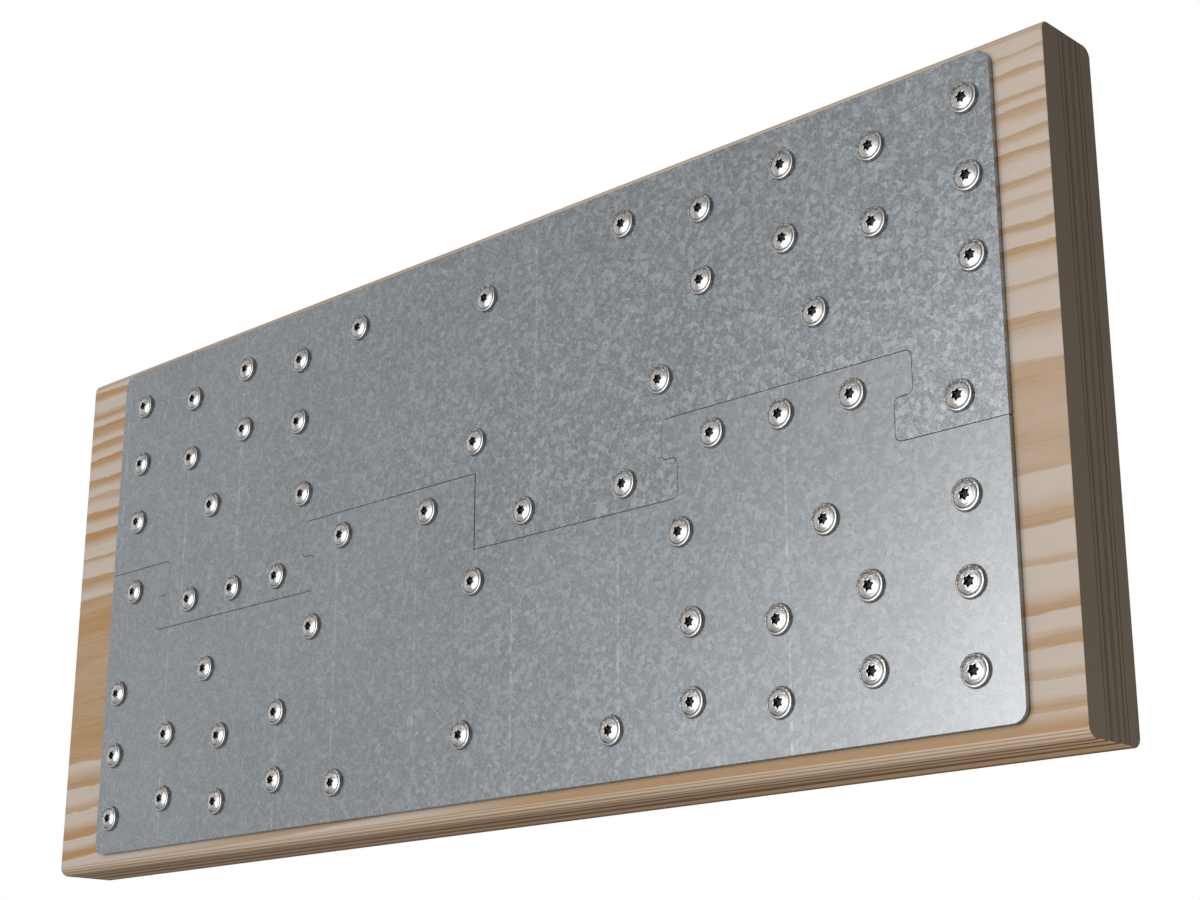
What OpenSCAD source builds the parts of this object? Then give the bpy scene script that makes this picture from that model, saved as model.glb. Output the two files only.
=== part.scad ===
// Interlocking truss nail plate: two identical steel plates, hooked together along a
// stepped seam and screwed to the face of one truss timber.
// +X runs along the timber, +Z is up, and the plates face -Y.
// The origin is the centre of the timber's bottom face.

/* [Timber] */
// Length of the timber
timber_length = 628; // [600:1:700]
// Height of the timber, standing on its narrow face
timber_height = 277; // [272:0.5:300]
// Thickness of the timber, front to back
timber_depth = 35; // [35:0.5:60]
// Radius planed on the four long edges
timber_edge_r = 4.5; // [2:0.5:8]

/* [Nail plates] */
// Width of the joined pair of plates
plate_width = 570; // [566:1:580]
// Height of the joined pair of plates
plate_height = 264; // [262:0.5:268]
// Thickness of the plate steel
plate_t = 3; // [2:0.25:4]
// Radius of the outer corners
plate_corner_r = 6; // [3:0.5:10]
// How far the plates sit to the right of the timber's middle
plate_offset_x = 6.5; // [0:0.5:10]
// Height of the plates' lower edge above the timber's bottom face
plate_rise = 7.75; // [6:0.25:8]

/* [Seam] */
// How far each tongue reaches past the middle line
tongue_reach = 18; // [16:0.5:22]
// Half-width of the centre tongues at the neck
centre_neck = 114; // [112:1:116]
// Distance from the middle to the neck's far side on the outer tongues
outer_neck = 234; // [232:1:236]
// Width of each hook
hook = 9; // [8:0.5:12]
// Radius of the seam's rounded corners
seam_r = 3; // [1:0.25:4]
// Gap between the two plates along the seam
seam_gap = 0.3; // [0.1:0.1:0.6]

/* [Screw pattern] */
// Distance between screw columns
column_pitch = 45; // [44:0.5:46]
// Distance between screw rows
row_pitch = 33; // [30:0.5:34]
// How far every second column is set down
column_stagger = 6; // [0:0.5:8]

/* [Screws] */
// Length of the shank under the head
screw_length = 35; // [20:1:35]
// Outer diameter of the threaded shank
shank_d = 6; // [5:0.1:6]
// Length of the drilling point
point_length = 8; // [4:0.5:10]
// Clearance hole in the plate
plate_hole_d = 6.5; // [6.2:0.1:7]
// Diameter of the washer flange where it bears on the plate
flange_d = 13.4; // [12:0.1:14]
// How much narrower the flange is at its rim
flange_flare = 0.5; // [0.2:0.1:0.8]
// Height of the flange's rolled rim
flange_t = 1.4; // [1.2:0.1:1.6]
// Thickness of the rolled rim
rim_d = 0.8; // [0.6:0.1:1]
// Width of the groove between the rim and the dome
groove_w = 0.15; // [0.05:0.05:0.3]
// Height of the domed head above the plate
head_h = 2.6; // [2.4:0.1:3]
// Across the points of the six-lobe recess
recess_d = 4.5; // [3.9:0.05:5]
// Depth of the recess
recess_depth = 2.2; // [1:0.1:2.2]
// Angle at which the first recess stops
recess_start = 5; // [0:1:59]
// How much further each next recess is turned
recess_turn = 16; // [0:1:59]

/* [Hidden] */

arc = 48;
over = 1;
half_gap = seam_gap / 2;
half_w = plate_width / 2;
half_h = plate_height / 2;
pair_z = plate_rise + half_h;
timber_front = -timber_depth / 2;
plate_front = timber_front - plate_t;

// The screws of the upper plate, as [x, z] from the middle of the pair. Two fields of five
// columns start in from the outer edges; the lower plate has the same holes, half a turn round.
column_rows = [3, 2, 2, 2, 1];
left_column = [-265, 111];
right_column = [273, 114];
web_screws = [[6, 102], [0, 33], [114, 36], [-124.5, 33], [197.5, 45], [-199.5, 42]];
hook_tongue_start = -214.5;
hook_tongue_pitch = 36;
centre_tongue_start = 32;
centre_tongue_pitch = 61;
end_tongue_x = 264;
tongue_screw_z = -6;

function field(start, inward) = [
    for (i = [0 : len(column_rows) - 1])
        for (j = [0 : column_rows[i] - 1])
            [start[0] + inward * i * column_pitch, start[1] - j * row_pitch - (i % 2) * column_stagger]
];

function tongue_row(start, pitch, count) = [for (i = [0 : count - 1]) [start + i * pitch, tongue_screw_z]];

screw_places = concat(
    field(left_column, 1),
    field(right_column, -1),
    web_screws,
    tongue_row(hook_tongue_start, hook_tongue_pitch, 3),
    tongue_row(centre_tongue_start, centre_tongue_pitch, 2),
    tongue_row(end_tongue_x, 0, 1)
);

// What a round of radius r takes off a square corner; [sx, sz] points into the corner's material.
module corner_waste(r, sx, sz) {
    difference() {
        translate([sx > 0 ? 0 : -r, sz > 0 ? 0 : -r])
            square(r);
        translate([sx * r, sz * r])
            circle(r = r, $fn = arc);
    }
}

// A rectangle from [x0, z0] to [x1, z1] whose left and right ends are rounded or square.
module rounded_block(x0, x1, z0, z1, r, round_left, round_right) {
    difference() {
        translate([x0, z0])
            square([x1 - x0, z1 - z0]);
        for (side = [[x0, 1, round_left], [x1, -1, round_right]])
            if (side[2]) {
                translate([side[0], z0])
                    corner_waste(r, side[1], 1);
                translate([side[0], z1])
                    corner_waste(r, side[1], -1);
            }
    }
}

// The three heads at the ends of the upper plate's tongues, drawn g smaller all round.
// With turned = true they are the lower plate's heads, half a turn round.
module tongue_heads(g) {
    outer = outer_neck + hook;
    inner = centre_neck;
    bottom = -tongue_reach + g;
    top = -g;
    rounded_block(-outer + g, -inner - g, bottom, top, seam_r - g, true, true);
    rounded_block(g, inner + hook - g, bottom, top, seam_r - g, false, true);
    rounded_block(outer_neck + g, half_w + over, bottom, top, seam_r - g, true, false);
}

// Outline of the upper plate: a blank that reaches down to the tongue tips, less the lower
// plate's heads and less what lies between its own heads.
module plate_outline() {
    difference() {
        translate([-half_w, -tongue_reach + half_gap])
            square([plate_width, half_h + tongue_reach - half_gap]);
        translate([-half_w, half_h])
            corner_waste(plate_corner_r, 1, -1);
        translate([half_w, half_h])
            corner_waste(plate_corner_r, -1, -1);
        rotate(180)
            tongue_heads(-half_gap);
        difference() {
            translate([-half_w - over, -tongue_reach - over])
                square([plate_width + 2 * over, tongue_reach + over - half_gap]);
            tongue_heads(half_gap);
        }
    }
}

// Half a turn about the middle of the pair carries the upper plate onto the lower one.
module half_turn(turned) {
    translate([plate_offset_x, 0, pair_z])
        rotate([0, turned ? 180 : 0, 0])
            children();
}

module nail_plate(turned) {
    half_turn(turned)
        translate([0, timber_front, 0])
            rotate([90, 0, 0])
                linear_extrude(plate_t)
                    difference() {
                        plate_outline();
                        for (p = screw_places)
                            translate(p)
                                circle(d = plate_hole_d, $fn = arc);
                    }
}

// Shank and point, hanging down from the underside of the head.
module shank() {
    straight = screw_length - point_length;
    translate([0, 0, -straight])
        cylinder(d = shank_d, h = straight, $fn = arc);
    translate([0, 0, -screw_length])
        cylinder(d1 = 0, d2 = shank_d, h = point_length, $fn = arc);
}

// Half section of the head: a flared washer flange, the rolled rim along its edge, and a low
// dome inside the rim, with a fine groove between them.
module head_section() {
    rim_out = (flange_d - flange_flare) / 2;
    rim_z = flange_t - rim_d / 2;
    dome_out = rim_out - rim_d - groove_w;
    dome_rise = head_h - flange_t + 0.1;
    dome_r = (pow(dome_out, 2) + pow(dome_rise, 2)) / (2 * dome_rise);
    polygon([[0, 0], [flange_d / 2, 0], [rim_out, rim_z], [0, rim_z]]);
    translate([rim_out - rim_d / 2, rim_z])
        circle(d = rim_d, $fn = arc);
    intersection() {
        translate([0, head_h - dome_r])
            circle(r = dome_r, $fn = arc);
        square([dome_out, head_h]);
    }
}

// Six-lobe recess: a disc with six round bites between the points.
module recess_outline() {
    bite_r = recess_d * 0.22;
    difference() {
        circle(d = recess_d, $fn = arc);
        for (i = [0 : 5])
            rotate(30 + 60 * i)
                translate([recess_d * 0.36 + bite_r, 0])
                    circle(r = bite_r, $fn = arc);
    }
}

module screw() {
    shank();
    difference() {
        rotate_extrude($fn = arc)
            head_section();
        translate([0, 0, head_h - recess_depth])
            linear_extrude(recess_depth + over)
                recess_outline();
    }
}

// Puts its child at every screw of one plate, with the child's +Z facing the front and each
// one turned a little further than the one before.
module at_screws(turned) {
    half_turn(turned)
        for (i = [0 : len(screw_places) - 1])
            translate([screw_places[i][0], plate_front, screw_places[i][1]])
                rotate([90, 0, 0])
                    rotate(recess_start + i * recess_turn)
                        children();
}

module timber_board() {
    color("burlywood")
        difference() {
            translate([-timber_length / 2, 0, 0])
                rotate([90, 0, 90])
                    linear_extrude(timber_length)
                        rounded_block(timber_front, -timber_front, 0, timber_height, timber_edge_r, true, true);
            for (turned = [false, true])
                at_screws(turned)
                    shank();
        }
}

module upper_nail_plate() {
    color("slategray")
        nail_plate(false);
}

module lower_nail_plate() {
    color("lightslategray")
        nail_plate(true);
}

module upper_plate_screws() {
    color("gainsboro")
        at_screws(false)
            screw();
}

module lower_plate_screws() {
    color("gainsboro")
        at_screws(true)
            screw();
}

timber_board();
upper_nail_plate();
lower_nail_plate();
upper_plate_screws();
lower_plate_screws();
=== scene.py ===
"""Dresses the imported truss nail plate: a pine board, two hooked galvanised plates and their screws."""
import math

import bpy
import numpy as np
from mathutils import Matrix, Vector
from mathutils.geometry import delaunay_2d_cdt


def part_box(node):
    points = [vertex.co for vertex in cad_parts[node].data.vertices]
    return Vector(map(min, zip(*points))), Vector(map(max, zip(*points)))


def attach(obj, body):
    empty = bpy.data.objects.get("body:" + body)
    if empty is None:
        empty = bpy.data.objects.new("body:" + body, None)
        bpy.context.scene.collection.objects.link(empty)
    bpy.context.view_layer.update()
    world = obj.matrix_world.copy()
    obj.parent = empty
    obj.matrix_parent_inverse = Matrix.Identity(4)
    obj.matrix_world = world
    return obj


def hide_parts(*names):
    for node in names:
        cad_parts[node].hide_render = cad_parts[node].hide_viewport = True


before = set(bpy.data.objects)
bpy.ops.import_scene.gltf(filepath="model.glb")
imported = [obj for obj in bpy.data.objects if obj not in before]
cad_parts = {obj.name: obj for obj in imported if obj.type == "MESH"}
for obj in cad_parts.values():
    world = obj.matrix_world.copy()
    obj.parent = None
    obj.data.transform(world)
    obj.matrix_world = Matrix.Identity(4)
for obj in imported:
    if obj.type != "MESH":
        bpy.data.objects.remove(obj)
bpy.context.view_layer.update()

# ---------------------------------------------------------------------------------------------
# The camera stands to the right of the part and a little below it, and looks up at the plates.
# ---------------------------------------------------------------------------------------------
lens = bpy.data.cameras.new("studio_camera")
lens.lens = 65.04
lens.sensor_width = 36.0
lens.clip_start = 0.01
lens.clip_end = 50.0
camera = bpy.data.objects.new("studio_camera", lens)
bpy.context.collection.objects.link(camera)
camera_place = (0.7007, -0.6731, -0.1284)
look_right = Vector((0.72743, 0.68618, 0.0)).normalized()
look_along = Vector((-0.65492, 0.69429, 0.29841)).normalized()
look_up = look_right.cross(look_along)
turned = Matrix((look_right, look_up, -look_along)).transposed().to_4x4()
camera.matrix_world = Matrix.Translation(camera_place) @ turned
bpy.context.scene.camera = camera

# ---------------------------------------------------------------------------------------------
# The board: planed pine, its four long edges rounded over, with a bore for each screw.
# Its faces carry the growth rings of a flat-sawn log, and its ends are grey, grooved end grain.
# ---------------------------------------------------------------------------------------------
MM = 0.001
board_low, board_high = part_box("timber_board")
edge_radius = 4.5 * MM
edge_steps = 14
end_ease = 0.4 * MM
bore_radius = 3.0 * MM
bore_tip_radius = 0.05 * MM
bore_straight = 24.0 * MM
bore_point = 8.0 * MM
bore_sides = 16

early_wood = (0.525, 0.448, 0.380, 1.0)
late_wood = (0.385, 0.225, 0.098, 1.0)
# Warmer and darker colours for the narrow faces: the sawn wood's own tone, darkened further as painted
# shade for the underside.
narrow_early_and_shade = (0.500, 0.330, 0.185, 1.0)
narrow_late_and_shade = (0.160, 0.070, 0.016, 1.0)
end_wood = (0.146, 0.116, 0.085, 1.0)
end_groove = (0.070, 0.050, 0.034, 1.0)

# The screw pattern, in millimetres from the middle of the plate pair. Two fields of five columns
# start in from the outer edges; six screws hold the web and six the tongues.
column_rows = [3, 2, 2, 2, 1]
column_pitch = 45.0
row_pitch = 33.0
column_stagger = 6.0
web_screws = [(6, 102), (0, 33), (114, 36), (-124.5, 33), (197.5, 45), (-199.5, 42)]
tongue_screws = [(-214.5, -6), (-178.5, -6), (-142.5, -6), (32, -6), (93, -6), (264, -6)]


def field_of_screws(start_x, start_z, inward):
    """Columns step inwards by their pitch and rows step down by theirs. Every second column is
    set down a little further."""
    return [
        (
            start_x + inward * column_pitch * column,
            start_z - row_pitch * row - column_stagger * (column % 2),
        )
        for column in range(len(column_rows))
        for row in range(column_rows[column])
    ]


upper_places = MM * np.array(
    field_of_screws(-265.0, 111.0, 1) + field_of_screws(273.0, 114.0, -1) + web_screws + tongue_screws
)
upper_low, upper_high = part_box("upper_nail_plate")
lower_low, lower_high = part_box("lower_nail_plate")
pair_middle = np.array([(upper_low.x + upper_high.x) / 2, (lower_low.z + upper_high.z) / 2])
upper_centres = pair_middle + upper_places
lower_centres = pair_middle - upper_places


def angles_round(count):
    """Equal steps round a full turn."""
    return np.linspace(0.0, 2 * math.pi, count, endpoint=False)


def circle_points(centres, radius, count):
    """A ring of points at the radius round each centre, one row a centre."""
    angle = angles_round(count)
    ring = radius * np.stack([np.cos(angle), np.sin(angle)], 1)
    return np.asarray(centres)[:, None] + ring[None]


def ring_faces(rows, count, start=0):
    """Quads between neighbouring rows of points, where each row closes on itself."""
    here = np.arange(count)
    after = (here + 1) % count
    base = start + np.arange(rows - 1)[:, None] * count
    quads = np.stack([base + here, base + after, base + count + after, base + count + here], -1)
    return quads.reshape(-1, 4)


def inset_outline(outline, distance):
    """Each point moves inwards along the mean of its two sides' normals, far enough that both
    sides of an anticlockwise outline move in by the distance."""
    side = np.roll(outline, -1, 0) - outline
    side = side / np.linalg.norm(side, axis=1, keepdims=True)
    normal = np.stack([-side[:, 1], side[:, 0]], 1)
    before = np.roll(normal, 1, 0)
    spread = 1.0 + (normal * before).sum(1, keepdims=True)
    return outline + distance * (normal + before) / spread


def rounded_outline(corners, radii, steps):
    """Closed outline with square turns: each corner gives way to a quarter circle, centred one
    radius back along the side that comes in and one radius out along the side that leaves."""
    corners = np.asarray(corners, float)
    radii = np.asarray(radii, float)[:, None, None]
    came = corners - np.roll(corners, 1, 0)
    leave = np.roll(corners, -1, 0) - corners
    came = (came / np.linalg.norm(came, axis=1, keepdims=True))[:, None]
    leave = (leave / np.linalg.norm(leave, axis=1, keepdims=True))[:, None]
    turn = np.linspace(0.0, math.pi / 2, steps)[None, :, None]
    centre = corners[:, None] - radii * came + radii * leave
    return (centre - radii * leave * np.cos(turn) + radii * came * np.sin(turn)).reshape(-1, 2)


def pierced_face(outline, holes):
    """Triangles that fill an outline round its holes. Points are numbered outline first, then
    hole by hole. A triangle whose middle is inside a hole is left out."""
    count, per_hole = len(outline), holes.shape[1]
    points = np.concatenate([outline, holes.reshape(-1, 2)])
    here = np.arange(count)
    edges = np.stack([here, (here + 1) % count], 1)
    rim = np.arange(per_hole)
    start = count + np.arange(len(holes))[:, None] * per_hole
    rims = np.stack([start + rim, start + (rim + 1) % per_hole], -1).reshape(-1, 2)
    edges = np.concatenate([edges, rims])
    scale = 1000.0
    made = delaunay_2d_cdt(
        [Vector(p) for p in (points * scale).tolist()], edges.tolist(), [here.tolist()], 1, 1e-7
    )
    filled = np.array(made[2])
    middle = np.array([list(v) for v in made[0]])[filled].mean(1) / scale
    centre = holes.mean(1)
    radius = np.linalg.norm(holes[:, 0] - centre, axis=1)
    apart = np.linalg.norm(middle[:, None] - centre[None], axis=2)
    return filled[(apart > radius[None] * 0.98).all(1)]


def laid_height(points):
    """The height at which the ring pattern is laid on the board. On the front and back it is the
    point's own height. Round the edges and across the narrow faces it runs on faster than the
    surface does, because the rings are cut closer together there."""
    edge_rate, round_rate, narrow_rate = 5.0, 7.0, 1.5
    tall, inward, height = points[:, 2], points[:, 1] - board_low.y, board_high.z
    rounding = np.minimum(inward, edge_radius)
    travel = rounding * round_rate + (inward - rounding) * narrow_rate
    at_foot = edge_radius - (edge_radius - tall) * edge_rate - travel
    at_top = tall + (tall - height + edge_radius) * edge_rate + travel
    laid = np.where(tall < edge_radius, at_foot, tall)
    return np.where(tall > height - edge_radius, at_top, laid)


def board_mesh():
    """The section is a rectangle with its corners rounded over, carried along X, drawn in by a
    quarter ellipse at both ends. The flat front is filled round the bores, and each bore is a
    ring of points carried straight in, then down to the drill point."""
    front, back, height = board_low.y, board_high.y, board_high.z
    corners = [(front, 0.0), (back, 0.0), (back, height), (front, height)]
    section = rounded_outline(corners, [edge_radius] * 4, edge_steps)
    count = len(section)
    ease = np.linspace(0.0, math.pi / 2, 4)
    drawn_in = end_ease * (1.0 - np.sin(ease))
    from_end = end_ease * (1.0 - np.cos(ease))
    x_rows = np.concatenate([board_low.x + from_end, (board_high.x - from_end)[::-1]])
    rows = np.stack([inset_outline(section, d) for d in [*drawn_in, *drawn_in[::-1]]])
    x_column = np.broadcast_to(x_rows[:, None, None], rows.shape[:2] + (1,))
    skin = np.concatenate([x_column, rows], -1).reshape(-1, 3)

    # The long front strip runs between the last point of the outline and its first. It is left
    # out of the skin and filled round the bores instead.
    strip_row = len(drawn_in) - 1
    strip = strip_row * count + count - 1
    quads = np.delete(ring_faces(len(x_rows), count), strip, 0)
    last_row = (len(x_rows) - 1) * count
    ends = [list(range(count))[::-1], list(range(last_row, last_row + count))]
    foot, top = strip_row * count, strip_row * count + count - 1
    corner_ids = np.array([foot, foot + count, top + count, top])

    centres = np.concatenate([upper_centres, lower_centres])
    bores = circle_points(centres, bore_radius, bore_sides)
    bore_tips = circle_points(centres, bore_tip_radius, bore_sides)
    straight_end = front + bore_straight
    rings = [(bores, front), (bores, straight_end), (bore_tips, straight_end + bore_point)]
    layers = np.stack([np.insert(ring, 1, depth, axis=2) for ring, depth in rings], 1)
    ids = len(skin) + np.arange(layers[..., 0].size).reshape(layers.shape[:3])
    after = np.roll(ids, -1, 2)
    walls = np.stack([ids[:, :-1], after[:, :-1], after[:, 1:], ids[:, 1:]], -1).reshape(-1, 4)
    numbering = np.concatenate([corner_ids, ids[:, 0].ravel()])
    face = numbering[pierced_face(skin[corner_ids][:, [0, 2]], bores)]

    points = np.concatenate([skin, layers.reshape(-1, 3)])
    uv = np.stack([points[:, 0], laid_height(points)], 1)
    faces = [quads, face, walls, ids[:, -1], ends]
    sizes = [len(block) for block in faces]
    kinds = np.repeat([0, 0, 0, 0, 1], sizes)
    soft = np.repeat([1, 0, 1, 0, 0], sizes)
    return points, faces, kinds, soft, uv


def make_piece(name, points, faces, materials, face_material=None, smooth=None, uv=None):
    """A mesh object at the origin, its place in its points. uv holds one pair for each point."""
    mesh = bpy.data.meshes.new(name)
    polygons = [row for block in faces for row in np.asarray(block).tolist()]
    mesh.from_pydata(np.asarray(points).tolist(), [], polygons)
    for material in materials:
        mesh.materials.append(material)
    if face_material is not None:
        mesh.polygons.foreach_set("material_index", np.asarray(face_material, np.int32))
    flags = np.ones(len(polygons), bool) if smooth is None else np.asarray(smooth, bool)
    mesh.polygons.foreach_set("use_smooth", flags)
    if uv is not None:
        corner = np.empty(len(mesh.loops), np.int32)
        mesh.loops.foreach_get("vertex_index", corner)
        layer = mesh.uv_layers.new(name="laid")
        layer.data.foreach_set("uv", np.asarray(uv, np.float32)[corner].ravel())
    mesh.validate()
    mesh.update()
    piece = bpy.data.objects.new(name, mesh)
    bpy.context.collection.objects.link(piece)
    return piece


def feed(tree, node, inputs):
    """Gives a node's inputs, by name or number, a value or another node's output."""
    for key, value in inputs.items():
        if isinstance(value, bpy.types.NodeSocket):
            tree.links.new(value, node.inputs[key])
        else:
            node.inputs[key].default_value = value


def add(tree, kind, inputs, **settings):
    """Adds a shader node with its settings and its inputs."""
    node = tree.nodes.new(kind)
    for key, value in settings.items():
        setattr(node, key, value)
    feed(tree, node, inputs)
    return node


def calc(tree, operation, *values, clamp=False):
    """One Math node's result."""
    inputs = dict(enumerate(values))
    return add(tree, "ShaderNodeMath", inputs, operation=operation, use_clamp=clamp).outputs[0]


def split(tree, vector):
    """A vector's three parts."""
    return add(tree, "ShaderNodeSeparateXYZ", {0: vector}).outputs


def fade(tree, value, low, high, start=0.0, end=1.0):
    """A smooth step: start below low, end above high."""
    inputs = {"Value": value, "From Min": low, "From Max": high, "To Min": start, "To Max": end}
    return add(tree, "ShaderNodeMapRange", inputs, interpolation_type="SMOOTHSTEP").outputs["Result"]


def mix_value(tree, factor, first, second):
    """Mixes two values."""
    return add(tree, "ShaderNodeMix", {0: factor, 2: first, 3: second}, data_type="FLOAT").outputs[0]


def mix_colour(tree, factor, first, second, blend="MIX"):
    """Mixes two colours, or blends the second over the first."""
    inputs = {0: factor, 6: first, 7: second}
    return add(tree, "ShaderNodeMix", inputs, data_type="RGBA", blend_type=blend).outputs[2]


def toned(tree, colour, tone):
    """A colour times a tone about 1."""
    grey = add(tree, "ShaderNodeCombineColor", {0: tone, 1: tone, 2: tone}).outputs[0]
    return mix_colour(tree, 1.0, colour, grey, "MULTIPLY")


def noise(tree, vector, scale, detail, rough):
    """Noise from 0 to 1, about 0.5 in the middle."""
    inputs = {"Vector": vector, "Scale": scale, "Detail": detail, "Roughness": rough}
    return add(tree, "ShaderNodeTexNoise", inputs).outputs["Fac"]


def drawn_noise(tree, vector, scales, detail, rough):
    """Noise with a scale of its own along each axis: the lower the scale, the longer it is drawn."""
    drawn = add(tree, "ShaderNodeMapping", {"Vector": vector, "Scale": scales}, vector_type="POINT")
    return noise(tree, drawn.outputs[0], 1.0, detail, rough)


def swing(tree, pattern, amount, base):
    """The base, moved by a noise's distance from its middle times the amount."""
    return calc(tree, "MULTIPLY_ADD", calc(tree, "SUBTRACT", pattern, 0.5), amount, base)


def lot(tree, number):
    """A random value for each whole number, the same until the next whole number."""
    whole = calc(tree, "FLOOR", number)
    return add(tree, "ShaderNodeTexWhiteNoise", {"W": whole}, noise_dimensions="1D").outputs["Value"]


def bumped(tree, height, strength, distance):
    """The normal tipped by a height, which stands for so many metres."""
    inputs = {"Height": height, "Strength": strength, "Distance": distance}
    return add(tree, "ShaderNodeBump", inputs).outputs[0]


def new_group(name, inputs, outputs):
    """A node group with named sockets. Gives its tree, its inputs' sockets and its output node."""
    tree = bpy.data.node_groups.new(name, "ShaderNodeTree")
    for title, kind, default in inputs:
        socket = tree.interface.new_socket(title, in_out="INPUT", socket_type=kind)
        if default is not None:
            socket.default_value = default
    for title, kind in outputs:
        tree.interface.new_socket(title, in_out="OUTPUT", socket_type=kind)
    return tree, tree.nodes.new("NodeGroupInput").outputs, tree.nodes.new("NodeGroupOutput")


def new_material(name):
    """An empty material with a Principled BSDF on its output."""
    material = bpy.data.materials.new(name)
    material.use_nodes = True
    tree = material.node_tree
    tree.nodes.clear()
    shader = tree.nodes.new("ShaderNodeBsdfPrincipled")
    finish = tree.nodes.new("ShaderNodeOutputMaterial")
    tree.links.new(shader.outputs[0], finish.inputs["Surface"])
    return material, tree, shader


def wood_fibre_group():
    """Fine fibres: noise drawn out along the grain, with a second, finer noise over it, and
    sparse pale flecks where a third noise rises past a threshold."""
    tree, way_in, way_out = new_group(
        "wood_fibre",
        [
            ("Grain", "NodeSocketVector", None),
            ("Coarse", "NodeSocketFloat", 0.03),
            ("Fine", "NodeSocketFloat", 0.03),
            ("Flecks", "NodeSocketFloat", 0.05),
        ],
        [("Tone", "NodeSocketFloat"), ("Height", "NodeSocketFloat")],
    )
    coarse = drawn_noise(tree, way_in["Grain"], (18.0, 700.0, 700.0), 3.0, 0.6)
    fine = drawn_noise(tree, way_in["Grain"], (160.0, 2600.0, 2600.0), 2.0, 0.6)
    fleck = drawn_noise(tree, way_in["Grain"], (150.0, 1300.0, 1300.0), 1.0, 0.5)
    tone = swing(tree, coarse, way_in["Coarse"], 1.0)
    tone = swing(tree, fine, way_in["Fine"], tone)
    tone = calc(tree, "MULTIPLY_ADD", fade(tree, fleck, 0.68, 0.76), way_in["Flecks"], tone)
    height = calc(tree, "ADD", calc(tree, "MULTIPLY", coarse, 0.6), calc(tree, "MULTIPLY", fine, 0.4))
    feed(tree, way_out, {"Tone": tone, "Height": height})
    return tree


wood_fibre = wood_fibre_group()


def growth_rings(tree, laid):
    """How much late wood there is at a point, and how far right it lies. A ring's number is the
    distance from a pith that lies behind the face, a little deeper and higher towards the right,
    counted in ring widths. Each ring is pale, darkens outwards, and stops sharply. The innermost
    meets the face along its whole breadth, so it shows as one wide dark zone."""
    first_ring, ring_width = 0.0750, 0.0094
    along, up = split(tree, laid)[:2]
    right = fade(tree, along, -0.10, 0.26)

    # The lines stray from their places by a slow wander, a ripple and a fine feathering. They lie
    # more level in the right margin, and calmer near the board's foot.
    drift = swing(tree, drawn_noise(tree, laid, (6.0, 14.0, 1.0), 2.0, 0.5), 0.010, 0.0)
    drift = swing(tree, drawn_noise(tree, laid, (34.0, 110.0, 1.0), 2.0, 0.55), 0.0035, drift)
    drift = swing(tree, drawn_noise(tree, laid, (70.0, 900.0, 1.0), 2.0, 0.6), 0.0020, drift)
    margin = calc(tree, "MULTIPLY", fade(tree, along, 0.25, 0.29), fade(tree, up, 0.10, 0.16, 1.0, 0.3))
    level = calc(tree, "MULTIPLY", margin, calc(tree, "SUBTRACT", along, 0.30))
    drift = calc(tree, "MULTIPLY_ADD", level, 0.07, drift)
    drift = calc(tree, "MULTIPLY", drift, fade(tree, up, 0.006, 0.020, 0.25, 1.0))

    pith_height = calc(tree, "MULTIPLY_ADD", along, 0.027, 0.112)
    pith_depth = calc(tree, "MULTIPLY_ADD", along, 0.0195, 0.0658)
    off = calc(tree, "SUBTRACT", calc(tree, "ADD", up, drift), pith_height)
    radius = calc(tree, "MULTIPLY_ADD", pith_depth, pith_depth, calc(tree, "MULTIPLY", off, off))
    radius = calc(tree, "SQRT", radius)
    ring = calc(tree, "MULTIPLY", calc(tree, "SUBTRACT", radius, first_ring), 1.0 / ring_width)
    closer = calc(tree, "MULTIPLY", right, fade(tree, off, 0.0, 0.05))
    ring = calc(tree, "MULTIPLY", ring, calc(tree, "MULTIPLY_ADD", closer, 0.26, 1.0))
    year = {"W": calc(tree, "MULTIPLY", ring, 0.8), "Scale": 1.0, "Detail": 1.0}
    uneven = add(tree, "ShaderNodeTexNoise", year, noise_dimensions="1D").outputs["Fac"]
    ring = swing(tree, uneven, 1.1, ring)

    place = calc(tree, "FRACT", ring)
    rise, stop = fade(tree, place, 0.26, 0.82), fade(tree, place, 0.95, 0.99, 1.0, 0.0)
    late = calc(tree, "MULTIPLY", rise, stop)
    late = calc(tree, "POWER", late, calc(tree, "MULTIPLY_ADD", right, 1.1, 1.0))
    late = calc(tree, "MULTIPLY", late, calc(tree, "MULTIPLY_ADD", right, -0.22, 1.0))
    late = calc(tree, "MULTIPLY", late, calc(tree, "MULTIPLY_ADD", lot(tree, ring), 0.55, 0.62))
    heart = drawn_noise(tree, laid, (9.0, 60.0, 1.0), 3.0, 0.6)
    heart = fade(tree, heart, 0.30, 0.72, 1.05, 0.66)
    inner = calc(tree, "MULTIPLY", fade(tree, ring, -0.14, 0.02, 1.0, 0.0), heart)
    inner = calc(tree, "MULTIPLY", inner, calc(tree, "MULTIPLY_ADD", right, -0.35, 1.0))
    late = calc(tree, "MAXIMUM", late, inner)
    streak = drawn_noise(tree, laid, (16.0, 900.0, 1.0), 2.0, 0.6)
    late = calc(tree, "MULTIPLY", late, fade(tree, streak, 0.28, 0.60, 1.12, 0.82))
    late = calc(tree, "MULTIPLY_ADD", fade(tree, streak, 0.55, 0.78), 0.20, late, clamp=True)
    foot_up, foot_along = fade(tree, up, 0.004, 0.013, 0.85, 0.0), fade(tree, along, -0.06, 0.06)
    return calc(tree, "MAXIMUM", late, calc(tree, "MULTIPLY", foot_up, foot_along))


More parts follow.
